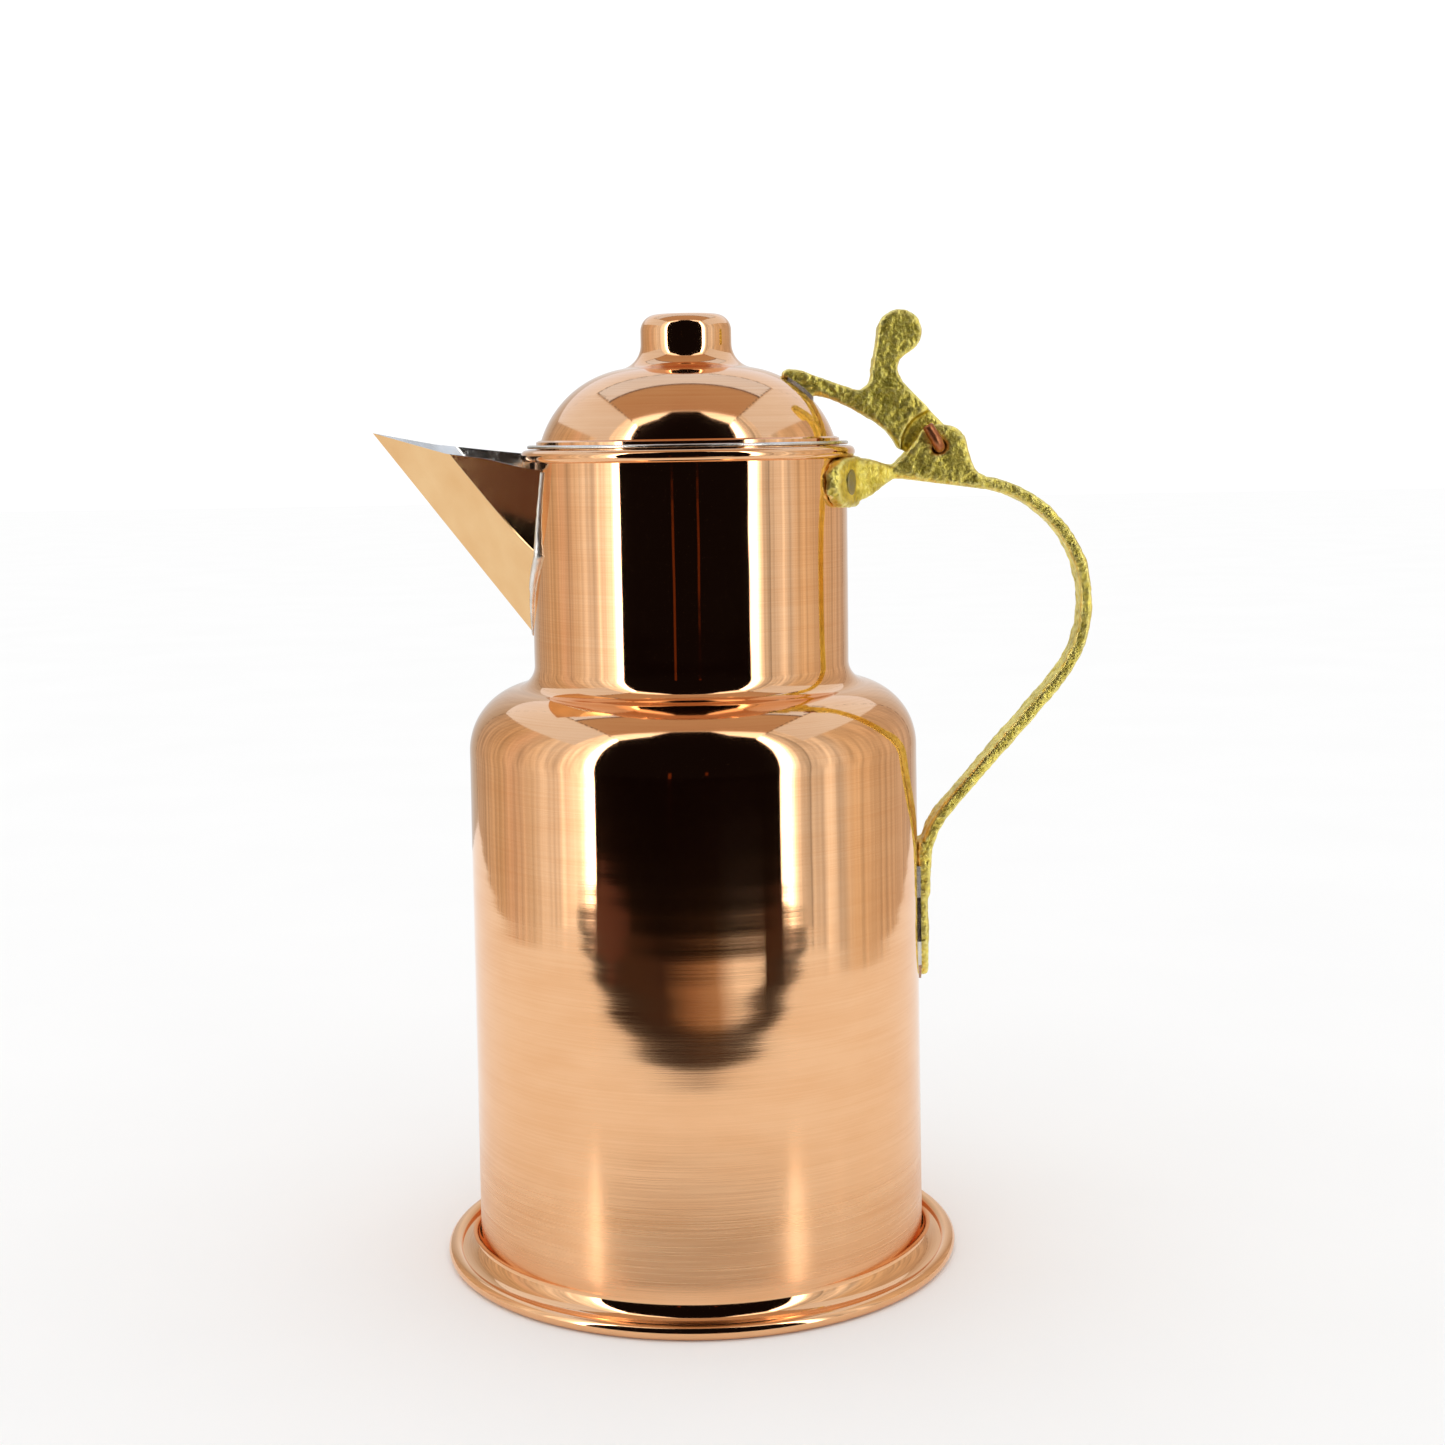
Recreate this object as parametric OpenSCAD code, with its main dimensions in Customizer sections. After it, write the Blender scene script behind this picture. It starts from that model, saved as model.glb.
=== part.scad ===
// Spun copper coffee pot with a folded beak spout, a cast brass handle and a hinged lid.
// Origin: on the pot's axis, at the flat underside. +Z up, +X towards the handle. Millimetres.

/* [Body] */
// Thickness of the copper sheet of the body
sheet = 1.0; // [0.8:0.1:1.2]
// Outer radius of the drum at the foot
drum_foot_r = 56.5; // [56:0.1:57]
// Outer radius of the drum under the shoulder
drum_top_r = 55.6; // [55:0.1:56]
// Height at which the drum turns into the shoulder
shoulder_z = 129; // [122:0.5:131]
// Radius of the shoulder
shoulder_r = 16; // [12:0.5:16]
// Outer radius of the neck
neck_r = 39; // [38.8:0.1:39.2]
// Radius of the hollow between shoulder and neck
neck_fillet = 5.5; // [3:0.5:6]
// Height of the middle of the rolled mouth rim
rim_z = 201.25; // [200:0.25:202]
// Radius of the rolled mouth rim's section
rim_bead_r = 1.5; // [1.3:0.1:1.6]
// Radius of the wire inside the mouth rim
rim_wire_r = 0.7; // [0.5:0.1:0.8]

/* [Foot] */
// Radius to the middle of the rolled foot edge
foot_bead_at = 63; // [62.5:0.5:66]
// Radius of the rolled foot edge's section
foot_bead_r = 1.8; // [1.6:0.1:2]
// Radius of the wire inside the foot edge
foot_wire_r = 0.8; // [0.6:0.1:0.9]
// Radius of the hollow between drum and foot flange
foot_fillet = 4.5; // [3:0.5:5]

/* [Lid] */
// Thickness of the lid's sheet
lid_sheet = 0.9; // [0.7:0.1:1]
// Gap between the closed lid and the mouth rim
lid_gap = 0.25; // [0.2:0.05:0.4]
// Radius of the lid's flange
flange_r = 39.4; // [39:0.1:40]
// Radius of the dome's section
dome_r = 25.2; // [25:0.1:25.4]
// Distance of the dome section's centre from the axis
dome_at = 12; // [11.5:0.1:12.5]
// Radius of the hollow knob
knob_r = 11.1; // [10:0.1:12]
// Height of the knob's top
knob_top = 235; // [233:0.5:236]
// Depth of the collar that drops into the mouth
collar_depth = 4.5; // [3:0.5:5]

/* [Spout] */
// Distance of the beak's tip from the pot's axis
tip_x = 77.3; // [76:0.1:78]
// Height of the beak's tip
tip_z = 207.5; // [206:0.5:208]
// Height at which the beak's keel meets the neck
keel_z = 158.6; // [157:0.2:160]
// Thickness of the beak's sheet
beak_sheet = 0.9; // [0.7:0.1:1]

/* [Handle] */
// Width of the handle's strap
strap_w = 9; // [8:0.5:10]
// Thickness of the strap
strap_t = 3; // [2.6:0.1:3.4]
// Radius of the strap's large bend, to its middle
bend_r = 30.3; // [29:0.1:31]
// Thickness of each hinge cheek
cheek_t = 3; // [2.6:0.1:3.2]
// Width of the slot between the cheeks
slot_w = 4; // [3.8:0.1:4.4]
// Radius of the copper hinge pin
pin_r = 1.4; // [1.2:0.1:1.5]

/* [Hidden] */
$fn = 96;

COPPER = "peru";
TIN = "silver";
BRASS = "goldenrod";
WIRE = "dimgray";

slop = 0.01;                       // makes cutting tools reach past the face they cut
steps = 12;                        // segments in a drawn arc
tall = 300;                        // more than the whole height, for cutting tools
handle_side = [40, 75];            // stretch of x that holds the handle's lower end

// Foot
pan_t = sheet;
flange_top = pan_t + sheet;        // the body's own flange lies on the pan
flange_edge = foot_bead_at - foot_wire_r - 0.3;

// Neck and mouth
neck_in = neck_r - sheet;
rim_at = neck_in + rim_bead_r;     // the rim rolls outwards, flush with the bore
rim_top = rim_z + rim_bead_r;
shoulder_at = drum_top_r - shoulder_r;
hollow_at = neck_r + neck_fillet;
hollow_turn = acos((hollow_at - shoulder_at) / (shoulder_r + neck_fillet));
hollow_z = shoulder_z + (shoulder_r + neck_fillet) * sin(hollow_turn);

// Lid
flange_z = rim_top + lid_gap;
dome_z = 197.1;                    // height of the dome section's centre
dome_hollow = 1.2;                 // small hollow where the dome meets its flange
knob_hollow = 6;                   // hollow at the foot of the knob
knob_round = 4;                    // rounding of the knob's top edge
lid_hollow_z = flange_z + lid_sheet + dome_hollow;
lid_hollow_at = dome_at + sqrt(pow(dome_r + dome_hollow, 2) - pow(lid_hollow_z - dome_z, 2));
lid_turn = atan2(lid_hollow_z - dome_z, lid_hollow_at - dome_at);
knob_hollow_at = knob_r + knob_hollow;
knob_turn = acos((knob_hollow_at - dome_at) / (dome_r + knob_hollow));
knob_hollow_z = dome_z + (dome_r + knob_hollow) * sin(knob_turn);
collar_r = neck_in - 0.8;
collar_t = 0.8;

// Hinge
pivot = [61.4, 201.9];             // x and z of the hinge axis
pin_play = 0.05;                   // running fit of the tongue on the pin
cheek_bore_r = 1.75;
tongue_w = slot_w - 0.6;
tongue_r = 5.2;
shoulder_sweep = 9.2;              // the lever is only as thin as the slot inside this radius
lever_w = 7;
hub_w = slot_w + 2 * cheek_t;
cheek_face = hub_w / 2;

// Handle
bend_at = [67.4, 163.4];           // centre of the strap's large bend
bend_from = 78;
bend_to = -41;
tail_r = 23;                       // reverse bend where the strap meets the drum
tail_x = 57.6;
pad_z = 194;
pad_half = 22;                     // half length of the saddle pad across the neck
pad_r = 6;                         // half height of the pad
pad_t = 3;
rivet_side = 14;                   // rivets sit this far to each side of the handle's middle
web_half = 11.5;                   // half width of the web at the pad, clear of the rivet heads
web_x = 50.5;                      // where the web has narrowed to the bar's own width
leaf_top_z = 104;                  // leaf at the strap's lower end
leaf_waist_z = 90;
leaf_end_z = 69;
leaf_half = 5.5;
leaf_t = 2.6;
rivet_r = 2;
rivet_head_r = 3.1;
rivet_head_t = 0.8;
rivet_over = 3;                    // a rivet hole is cut this far past the metal on each side

// Lever
thumb_w = 6.5;
arm_w = 7;

// Spout
keel_x = neck_r + 0.9;             // where the keel reaches the neck
keel_len = norm([tip_x - keel_x, tip_z - keel_z]);
keel_tilt = atan2(tip_z - keel_z, tip_x - keel_x);
crease_at = 12.3;                  // distance of the crease from the keel, across and up
beak_bend = 4;                     // radius of the bend at the crease
beak_wall = 21;                    // above the crease the walls lean outwards by this angle
beak_reach = 34;                   // height of the section above the keel
bend_x = crease_at + beak_bend * (sqrt(2) * sin(beak_wall) - 1) / (cos(beak_wall) - sin(beak_wall));
bend_mid = [bend_x, bend_x + beak_bend * sqrt(2)];
wall_top = crease_at + (beak_reach - crease_at) * tan(beak_wall);

// ---------- outline helpers ----------

// Points on an arc about [x, y], from angle a to angle b
function arc(x, y, r, a, b) =
    [for (i = [0:steps]) let (t = a + (b - a) * i / steps) [x + r * cos(t), y + r * sin(t)]];

// The body's outer outline, moved inwards by t; t = 0 is the outside
function body_outline(t) = concat(
    arc(drum_foot_r + foot_fillet, flange_top + foot_fillet, foot_fillet + t, 270, 180),
    arc(shoulder_at, shoulder_z, shoulder_r - t, 0, hollow_turn),
    arc(hollow_at, hollow_z, neck_fillet + t, 180 + hollow_turn, 180));

// The lid's outer outline from flange to knob, moved inwards by t
function lid_outline(t) = concat(
    arc(lid_hollow_at, lid_hollow_z, dome_hollow + t, 270, 180 + lid_turn),
    arc(dome_at, dome_z, dome_r - t, lid_turn, knob_turn),
    arc(knob_hollow_at, knob_hollow_z, knob_hollow + t, 180 + knob_turn, 180),
    arc(knob_r - knob_round, knob_top - knob_round, knob_round - t, 0, 90),
    [[0, knob_top - t]]);

// Places a drawing made in x and z upright, w thick about y = 0
module upright(w) {
    rotate([90, 0, 0])
        linear_extrude(w, center = true)
            children();
}

// Places a drawing made in y and z upright, pushed along x from x0 to x1
module pushed(x0, x1) {
    translate([x0, 0, 0])
        rotate([90, 0, 90])
            linear_extrude(x1 - x0)
                children();
}

// ---------- body ----------

// Solid of the body's outside, grown by t: what is soldered on it is cut to this
module body_outside(t = 0) {
    rotate_extrude()
        polygon(concat([[0, 0], [drum_foot_r + foot_fillet + t, 0]], body_outline(-t),
            [[neck_r + t, rim_z], [0, rim_z]]));
}

module rim_bead() {
    translate([rim_at, rim_z])
        circle(rim_bead_r);
}

// Hole in the neck behind the beak: straight-sided below, rounded above
module spout_port() {
    port_half = 12;
    port_top = 195;
    port_foot = keel_z + 6;
    port_side = keel_z + 18;
    port_corner = 4;
    pushed(-neck_r - 5, -neck_in / 2)
        union() {
            polygon([[0, port_foot], [port_half, port_side], [port_half, port_top - port_corner],
                [port_half - port_corner, port_top], [port_corner - port_half, port_top],
                [-port_half, port_top - port_corner], [-port_half, port_side]]);
            for (side = [-1, 1])
                translate([side * (port_half - port_corner), port_top - port_corner])
                    circle(port_corner);
        }
}

module body_shell() {
    outer = concat([[flange_edge, pan_t], [flange_edge, flange_top]], body_outline(0));
    inner = body_outline(sheet);
    color(COPPER)
        difference() {
            rotate_extrude()
                difference() {
                    union() {
                        polygon(concat(outer, [[neck_r, rim_z], [neck_in, rim_z]],
                            [for (i = [len(inner) - 1:-1:0]) inner[i]]));
                        rim_bead();
                    }
                    translate([rim_at, rim_z])
                        circle(rim_wire_r);
                }
            spout_port();
            rivet_shanks();
        }
}

module rim_wire() {
    color(WIRE)
        rotate_extrude()
            translate([rim_at, rim_z])
                circle(rim_wire_r);
}

// Flat bottom whose edge is rolled over the body's flange
module base_pan() {
    color(COPPER)
        rotate_extrude()
            difference() {
                union() {
                    square([foot_bead_at, pan_t]);
                    translate([foot_bead_at, foot_bead_r])
                        circle(foot_bead_r);
                }
                translate([0, pan_t])
                    square([flange_edge, sheet]);
                translate([foot_bead_at, foot_bead_r])
                    circle(foot_wire_r);
            }
}

module foot_wire() {
    color(WIRE)
        rotate_extrude()
            translate([foot_bead_at, foot_bead_r])
                circle(foot_wire_r);
}

// Tin run into the inside corner between bottom and body
module base_solder() {
    corner_r = drum_foot_r + foot_fillet;
    inner_r = foot_fillet + sheet;
    tin_h = 3.2;
    foot_run = 1.5;
    top_run = 0.3;
    color(TIN)
        rotate_extrude()
            difference() {
                polygon([[corner_r, pan_t], [corner_r - inner_r - foot_run, pan_t],
                    [corner_r - inner_r + top_run, pan_t + tin_h], [corner_r, pan_t + tin_h]]);
                translate([corner_r, flange_top + foot_fillet])
                    circle(inner_r);
            }
}

// ---------- spout ----------

// One half of the beak's section, keel at the origin, moved inwards by t:
// a 45 degree keel face, a bend at the crease, and a side wall that leans outwards
function beak_half_outline(t) = concat([[0, t * sqrt(2)]],
    arc(bend_mid[0], bend_mid[1], beak_bend - t, -45, -beak_wall),
    [[wall_top - t / cos(beak_wall), beak_reach]]);

// Solid beak section, moved inwards by t
module beak_section(t) {
    half = beak_half_outline(t);
    polygon(concat(half, [for (i = [len(half) - 1:-1:1]) [-half[i][0], half[i][1]]]));
}

// The section swept along the keel, past the neck and past the tip
module beak_sweep(t) {
    translate([-keel_x, 0, keel_z])
        rotate([0, keel_tilt - 90, 0])
            translate([0, 0, -30])
                rotate([0, 0, -90])
                    linear_extrude(keel_len + 45)
                        beak_section(t);
}

// Space above the beak's two top edges; the far edge stands a little higher
module above_beak() {
    far_edge = [[-tip_x, tip_z], [-63.4, 204.5], [-52, 203], [-42, 201.8], [-30, 201.3]];
    near_edge = [[-tip_x, tip_z], [-64, 203.9], [-58, 202.3], [-48, 201], [-38.3, 198.5], [-30, 197.6]];
    roof = [[-30, 260], [-140, 260], [-140, 226]];
    depth = 40;
    translate([0, depth / 2, 0])
        upright(depth)
            polygon(concat(far_edge, roof));
    translate([0, -depth / 2, 0])
        upright(depth + slop)
            polygon(concat(near_edge, roof));
}

module spout_beak() {
    color(COPPER)
        difference() {
            beak_sweep(0);
            beak_sweep(beak_sheet);
            above_beak();
            cylinder(h = tall, r = neck_r);
            rim_clearance();
        }
}

// Room that the rolled rim takes up
module rim_clearance() {
    rotate_extrude()
        rim_bead();
}

// Tin fillet along the joint between beak and neck
module spout_solder() {
    fillet = 0.9;
    color(TIN)
        difference() {
            intersection() {
                difference() {
                    beak_sweep(-fillet);
                    beak_sweep(0);
                }
                cylinder(h = tall, r = neck_r + fillet);
            }
            above_beak();
            cylinder(h = tall, r = neck_r);
            rim_clearance();
        }
}

// ---------- handle ----------

// Side view of the strap, from the hinge round to the drum
module strap_side() {
    half = strap_t / 2;
    run_x = bend_at[0] + bend_r * cos(bend_to);
    run_z = bend_at[1] + bend_r * sin(bend_to);
    tail_top_x = tail_x + tail_r * (1 - cos(bend_to));
    tail_top_z = run_z - (run_x - tail_top_x) / tan(-bend_to);
    tail_z = tail_top_z + tail_r * sin(bend_to);
    outer = concat(arc(bend_at[0], bend_at[1], bend_r + half, bend_from, bend_to),
        arc(tail_x + tail_r, tail_z, tail_r - half, 180 + bend_to, 180));
    inner = concat(arc(bend_at[0], bend_at[1], bend_r - half, bend_from, bend_to),
        arc(tail_x + tail_r, tail_z, tail_r + half, 180 + bend_to, 180));
    outer_end = [tail_x + leaf_t - half + 0.3, leaf_waist_z];
    inner_end = [tail_x - half - 1, leaf_waist_z];
    polygon(concat(outer, [outer_end, inner_end], [for (i = [len(inner) - 1:-1:0]) inner[i]]));
}

// Bar from the saddle pad, under the cheeks, to the start of the strap
module bar_side() {
    polygon([[neck_r, 188.8], [44.4, 190.3], [50.1, 194.6], [73.3, 191.35], [73.95, 194.2],
        [50.1, 197.5], [44.5, 199.2], [neck_r, 199.6]]);
}

// Side view of a hinge cheek: a hump with a slanted front edge
module cheek_side() {
    hump_at = [62.2, 201.3];
    hump_r = 6.2;
    polygon([[50.2, 195.5], [50.4, 197.6], [52.9, 200.1], [57.2, 206.3], [59.6, hump_at[1] + 5.8],
        [hump_at[0], hump_at[1] + hump_r], [hump_at[0] + hump_r, hump_at[1]], [69.4, 198],
        [70.6, 195.8], [73.9, 194], [73, 192]]);
    translate(hump_at)
        circle(hump_r);
}

// Outline of the leaf at the strap's lower end, grown by t, seen along x
module leaf(t = 0) {
    belly_z = leaf_end_z + 10;
    polygon([[-strap_w / 2 - t, leaf_top_z], [-leaf_half + 1.3 - t, leaf_waist_z], [-leaf_half - t, belly_z],
        [-leaf_half + 2 - t, leaf_end_z + 3.5], [-0.8, leaf_end_z - t], [0.8, leaf_end_z - t],
        [leaf_half - 2 + t, leaf_end_z + 3.5], [leaf_half + t, belly_z],
        [leaf_half - 1.3 + t, leaf_waist_z], [strap_w / 2 + t, leaf_top_z]]);
}

// A band of thickness t round the drum, cut to the leaf's outline grown by edge
module leaf_on_drum(t, edge) {
    intersection() {
        body_outside(t);
        pushed(handle_side[0], handle_side[1])
            leaf(edge);
    }
}

// Saddle pad that wraps the neck
module saddle_pad() {
    intersection() {
        translate([0, 0, pad_z - pad_r])
            cylinder(h = 2 * pad_r, r = neck_r + pad_t);
        pushed(20, 50) {
            translate([pad_r - pad_half, pad_z - pad_r])
                square([2 * (pad_half - pad_r), 2 * pad_r]);
            for (side = [-1, 1])
                translate([side * (pad_half - pad_r), pad_z])
                    circle(pad_r);
        }
    }
}

// Web between bar and pad, narrowing from the pad to the bar
module pad_web() {
    intersection() {
        upright(2 * web_half)
            bar_side();
        cylinder(h = tall, r = web_x);
        linear_extrude(tall)
            polygon([[neck_in, -web_half], [neck_r + pad_t - 1.5, -web_half], [web_x, -strap_w / 2],
                [web_x, strap_w / 2], [neck_r + pad_t - 1.5, web_half], [neck_in, web_half]]);
    }
}

// Places something on the rivet's line on one side: its own +Z then points out of the neck
module on_rivet(side) {
    translate([0, 0, pad_z])
        rotate([0, 0, side * asin(rivet_side / neck_r)])
            rotate([0, 90, 0])
                children();
}

module rivet_shanks() {
    for (side = [-1, 1])
        on_rivet(side)
            translate([0, 0, neck_in - rivet_over])
                cylinder(h = pad_t + sheet + 2 * rivet_over, r = rivet_r);
}

module handle_casting() {
    slot_floor_z = pivot[1] - tongue_r - 0.5;
    slot_from_x = 50.3;
    color(BRASS)
        difference() {
            union() {
                upright(strap_w) {
                    strap_side();
                    bar_side();
                }
                upright(hub_w)
                    cheek_side();
                saddle_pad();
                pad_web();
                leaf_on_drum(leaf_t, 0);
            }
            body_outside();
            rim_clearance();
            translate([slot_from_x, -slot_w / 2, slot_floor_z])
                cube([handle_side[1] - slot_from_x, slot_w, 20]);
            translate([pivot[0], 0, pivot[1]])
                rotate([90, 0, 0])
                    cylinder(h = 20, r = cheek_bore_r, center = true);
            rivet_shanks();
        }
}

// Rivets: a peened head on the pad and a low head inside the neck. The shank ends inside
// both heads, and only the heads are cut to the curve, so that no two faces coincide
module upper_rivets() {
    color(WIRE)
        for (side = [-1, 1])
            union() {
                on_rivet(side)
                    translate([0, 0, neck_in - rivet_head_t])
                        cylinder(h = pad_t + sheet + 1.5 * rivet_head_t, r = rivet_r);
                difference() {
                    on_rivet(side)
                        translate([0, 0, neck_r + pad_t - 1])
                            cylinder(h = 1 + rivet_head_t, r = rivet_head_r);
                    translate([0, 0, pad_z - 2 * pad_r])
                        cylinder(h = 4 * pad_r, r = neck_r + pad_t);
                }
                intersection() {
                    on_rivet(side)
                        translate([0, 0, neck_in - 2 * rivet_head_t])
                            cylinder(h = 2 * rivet_head_t, r = rivet_head_r);
                    translate([0, 0, pad_z - 2 * pad_r])
                        cylinder(h = 4 * pad_r, r = neck_in);
                }
            }
}

// Tin run round the leaf on the drum
module tail_solder() {
    edge = 0.7;
    tin_top_z = leaf_top_z - 6;
    color(TIN)
        difference() {
            leaf_on_drum(edge, edge);
            body_outside();
            pushed(handle_side[0], handle_side[1])
                leaf();
            upright(strap_w)
                strap_side();
            translate([0, 0, tin_top_z])
                cylinder(h = tall, r = 2 * drum_top_r);
        }
}

// Copper wire through both cheeks, its ends bent over against them in opposite directions
module hinge_pin() {
    bend = 2;
    leg = 4.2;
    lean = 30.7;
    straight = cheek_face + pin_r + 0.1 - bend;
    color(COPPER)
        translate([pivot[0], 0, pivot[1]])
            union() {
                rotate([90, 0, 0])
                    cylinder(h = 2 * straight, r = pin_r, center = true);
                for (turn = [0, 180])
                    rotate([turn, 0, 0])
                        rotate([0, -lean, 0])
                            translate([0, -straight, bend]) {
                                rotate([0, 90, 0])
                                    rotate([0, 0, -90])
                                        rotate_extrude(angle = 90)
                                            translate([bend, 0])
                                                circle(pin_r);
                                translate([0, -bend, 0])
                                    cylinder(h = leg, r = pin_r);
                            }
            }
}

// ---------- lid ----------

// Solid of the lid's outside, grown by t: what is soldered on it is cut to this
module lid_outside(t = 0) {
    rotate_extrude()
        polygon(concat([[0, flange_z], [flange_r, flange_z], [flange_r, flange_z + lid_sheet + t]],
            lid_outline(-t)));
}

module lid_shell() {
    inner = lid_outline(lid_sheet);
    color(COPPER)
        rotate_extrude()
            polygon(concat([[flange_r, flange_z], [flange_r, flange_z + lid_sheet]], lid_outline(0),
                [for (i = [len(inner) - 1:-1:0]) inner[i]]));
}

// Section of the room under the lid's sheet
module under_lid() {
    polygon(concat([[0, flange_z - 2 * collar_depth], [lid_hollow_at, flange_z - 2 * collar_depth]],
        lid_outline(lid_sheet)));
}

// Ring that drops into the mouth and keeps the lid in place
module lid_collar() {
    color(COPPER)
        rotate_extrude()
            intersection() {
                translate([collar_r - collar_t, flange_z - collar_depth])
                    square([collar_t, collar_depth + 3]);
                under_lid();
            }
}

// Tin run between collar and dome, inside
module collar_solder() {
    leg = 1.5;
    corner = collar_r - collar_t;
    color(TIN)
        rotate_extrude()
            intersection() {
                polygon([[corner, flange_z - leg], [corner, flange_z + 3], [corner - leg, flange_z + 3],
                    [corner - leg, flange_z + 1]]);
                under_lid();
            }
}

// Side view of the lever's arm, from its soldered end to the hub
module arm_side() {
    polygon([[23.4, 217.5], [23.4, 220.8], [24.6, 221.4], [27.9, 221], [37.4, 217.5], [42.2, 215.8],
        [45, 214], [41, 211.2], [35.9, 213.7], [31, 215.2], [30.2, 213.8]]);
}

// Side view of the hub, the stem and the round thumb piece
module thumb_side() {
    translate([52, 229.9])
        circle(5.4);
    polygon([[46.5, 229], [45.3, 222], [44.6, 217.6], [42.2, 215.8], [40.5, 211.5], [45.3, 208.7],
        [48.5, 206.2], [50.4, 203.8], [51.7, 201.3], [54, 202], [58.5, 209], [61.2, 209.2], [59.3, 211.1],
        [54.7, 215.8], [52.5, 218.2], [51.5, 220.7], [51.8, 223.1], [55.4, 225.8]]);
}

module at_pivot() {
    translate(pivot)
        children();
}

// Side view of the thin tongue that turns between the cheeks
module tongue_side() {
    at_pivot()
        circle(tongue_r);
    polygon([[52.2, 201.6], [50.4, 203.8], [48.5, 206.2], [55, 213], [57.3, 213.1], [61.6, 208.7],
        [64.8, 205.6], [61, 199], [57.6, 198.2]]);
}

// Cast lever: arm soldered on the dome, thumb piece, tongue on the pin
module lid_lever() {
    color(BRASS)
        difference() {
            union() {
                upright(thumb_w)
                    difference() {
                        thumb_side();
                        at_pivot()
                            circle(shoulder_sweep);
                    }
                upright(lever_w)
                    difference() {
                        intersection() {
                            thumb_side();
                            translate([30, 190])
                                square([40, 26]);
                        }
                        at_pivot()
                            circle(shoulder_sweep);
                    }
                upright(arm_w)
                    arm_side();
                upright(tongue_w)
                    tongue_side();
            }
            lid_outside();
            translate([pivot[0], 0, pivot[1]])
                rotate([90, 0, 0])
                    cylinder(h = 20, r = pin_r + pin_play, center = true);
        }
}

// Tin run round the arm's end on the dome
module lever_solder() {
    edge = 0.6;
    run_x = 24.6;
    run = 6.2;
    color(TIN)
        difference() {
            intersection() {
                lid_outside(edge);
                translate([run_x, -arm_w / 2 - edge, flange_z])
                    cube([run, arm_w + 2 * edge, 20]);
            }
            lid_outside();
            upright(arm_w)
                arm_side();
        }
}

body_shell();
base_pan();
foot_wire();
rim_wire();
base_solder();
spout_beak();
spout_solder();
handle_casting();
upper_rivets();
tail_solder();
hinge_pin();
lid_shell();
lid_collar();
collar_solder();
lid_lever();
lever_solder();
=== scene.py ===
"""Looks of the spun copper coffee pot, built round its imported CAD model.

Sizes in this script are in millimetres, in the CAD's frame, and become metres where meshes are made.
The spun copper parts are turned afresh as fine meshes, so that their mirror finish shows no facets.
The two brass castings start from their CAD solids and get soft edges and a sand-cast skin.
The pot stands in a small light tent, which only its reflections see.
"""

import math

import bmesh
import bpy
import numpy as np
from mathutils import Matrix, Vector, noise


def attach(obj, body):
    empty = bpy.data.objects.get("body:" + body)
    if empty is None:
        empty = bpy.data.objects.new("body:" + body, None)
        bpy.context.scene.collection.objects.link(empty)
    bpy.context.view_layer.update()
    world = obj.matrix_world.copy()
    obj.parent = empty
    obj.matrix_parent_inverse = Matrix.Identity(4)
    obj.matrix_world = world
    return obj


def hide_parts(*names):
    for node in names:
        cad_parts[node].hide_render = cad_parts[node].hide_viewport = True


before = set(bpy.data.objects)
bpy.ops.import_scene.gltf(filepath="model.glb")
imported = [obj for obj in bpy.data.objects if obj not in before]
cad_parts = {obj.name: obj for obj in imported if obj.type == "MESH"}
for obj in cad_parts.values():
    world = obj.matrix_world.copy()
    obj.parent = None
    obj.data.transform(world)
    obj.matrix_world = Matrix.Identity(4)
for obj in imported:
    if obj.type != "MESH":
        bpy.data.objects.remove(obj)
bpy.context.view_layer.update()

MM = 0.001

# ---------- sizes shared with the CAD model ----------

SHEET = 1.0
PAN_T = SHEET
FLANGE_TOP = PAN_T + SHEET
DRUM_FOOT_R = 56.5
DRUM_TOP_R = 55.6
FOOT_FILLET = 4.5
FOOT_BEAD_AT = 63.0
FOOT_BEAD_R = 1.8
FOOT_WIRE_R = 0.8
FLANGE_EDGE = FOOT_BEAD_AT - (FOOT_WIRE_R + 0.3)
SHOULDER_Z = 129.0
SHOULDER_R = 16.0
NECK_R = 39.0
NECK_IN = NECK_R - SHEET
NECK_FILLET = 5.5
RIM_Z = 201.25
RIM_BEAD_R = 1.5
RIM_AT = NECK_IN + RIM_BEAD_R

LID_SHEET = 0.9
FLANGE_R = 39.4
LID_GAP = 0.25
FLANGE_Z = RIM_Z + RIM_BEAD_R + LID_GAP
DOME_R = 25.2
DOME_AT = 12.0
DOME_Z = 197.1
DOME_HOLLOW = 1.2
KNOB_R = 11.1
KNOB_TOP = 235.0
KNOB_HOLLOW = 6.0
KNOB_ROUND = 4.0
COLLAR_R = NECK_IN - 0.8
COLLAR_T = 0.8
COLLAR_DEPTH = 4.5

PIVOT = (61.4, 0.0, 201.9)
PIN_R = 1.4
SLOT_HALF = 2.0
CHEEK_T = 3.0
CHEEK_FACE = SLOT_HALF + CHEEK_T
HINGE_REACH = 16.0                 # within this distance of the hinge axis the castings nearly touch

BEAK_SHEET = 0.9
TIP = (-77.3, 207.5)
KEEL = (-(NECK_R + 0.9), 158.6)
CREASE_AT = 12.3
BEAK_BEND = 4.0
BEAK_WALL = 21.0
BEAK_REACH = 34.0
FLARE = 3.6                        # how much wider the beak is where it meets the neck
FLARE_UP = 4.0                     # the flare dies away over this height above the crease
FLARE_RUN = 9.0                    # and over this length along the keel
FLARE_LIFT = 0.8                   # it rises by this share of its width
JOINT_LEAN = 0.9                   # the joint runs this much further along the keel for each mm up
NEAR_EDGE = [(-TIP[0], TIP[1]), (64, 203.9), (58, 202.3), (48, 201), (38.3, 198.5), (30, 197.6)]
FAR_EDGE = [(-TIP[0], TIP[1]), (63.4, 204.5), (52, 203), (42, 201.8), (30, 201.3)]

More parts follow.
